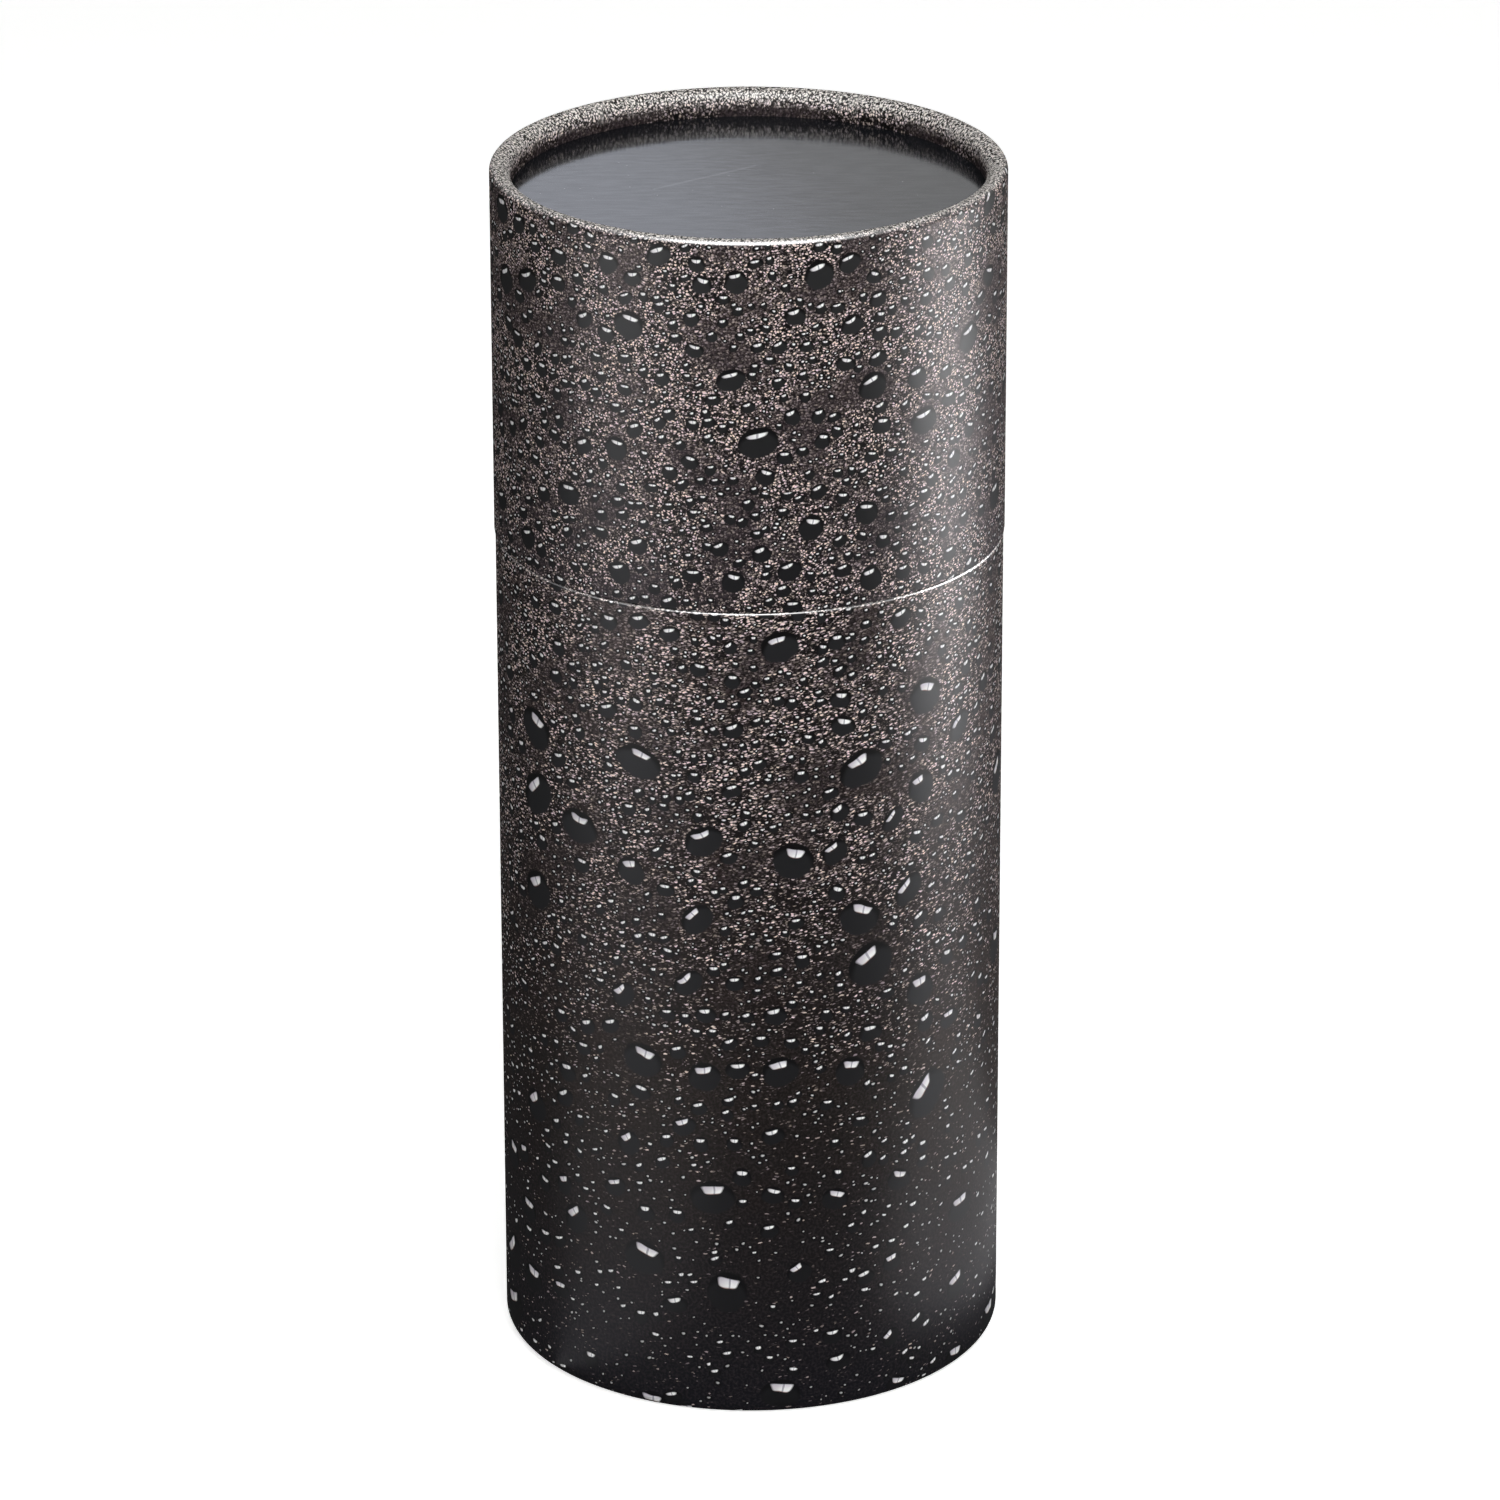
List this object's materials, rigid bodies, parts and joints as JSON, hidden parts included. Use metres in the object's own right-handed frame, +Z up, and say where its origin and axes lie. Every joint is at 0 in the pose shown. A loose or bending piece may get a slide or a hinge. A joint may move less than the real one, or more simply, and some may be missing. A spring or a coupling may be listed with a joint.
{
  "type": "cylindrical gift tube box",
  "caption": "Tall round gift tube of wound board with rolled rims, a deep lift-off lid over an inner neck, covered in dark paper printed with raindrops",
  "frame": {"origin": "centre of the ring that the foot stands on, at the bottom", "axes": "+Z up along the tube's axis, +Y towards the back, where each wrap's overlap runs"},
  "size_m": [0.1306, 0.1308, 0.319],
  "materials": {
    "printed_lid_paper": "satin",
    "printed_base_paper": "satin",
    "gloss_black_paper": "gloss",
    "plain_black_paper": "matte",
    "grey_board": "matte"
  },
  "bodies": {
    "base": {"base_tube": "grey_board", "base_wrap": "printed_base_paper", "base_disc": "grey_board", "base_under_facing": "plain_black_paper", "base_floor_facing": "plain_black_paper", "neck_tube": "grey_board", "neck_wrap": "plain_black_paper", "neck_lining": "plain_black_paper"},
    "lid": {"lid_tube": "grey_board", "lid_wrap": "printed_lid_paper", "lid_top_disc": "grey_board", "lid_top_facing": "gloss_black_paper", "lid_under_facing": "plain_black_paper", "lid_lining": "plain_black_paper"}
  },
  "joints": [
    {"name": "lid_lift", "type": "slide", "parent": "base", "child": "lid", "axis": [0, 0, 1], "range_m": [0, 0.11]}
  ]
}
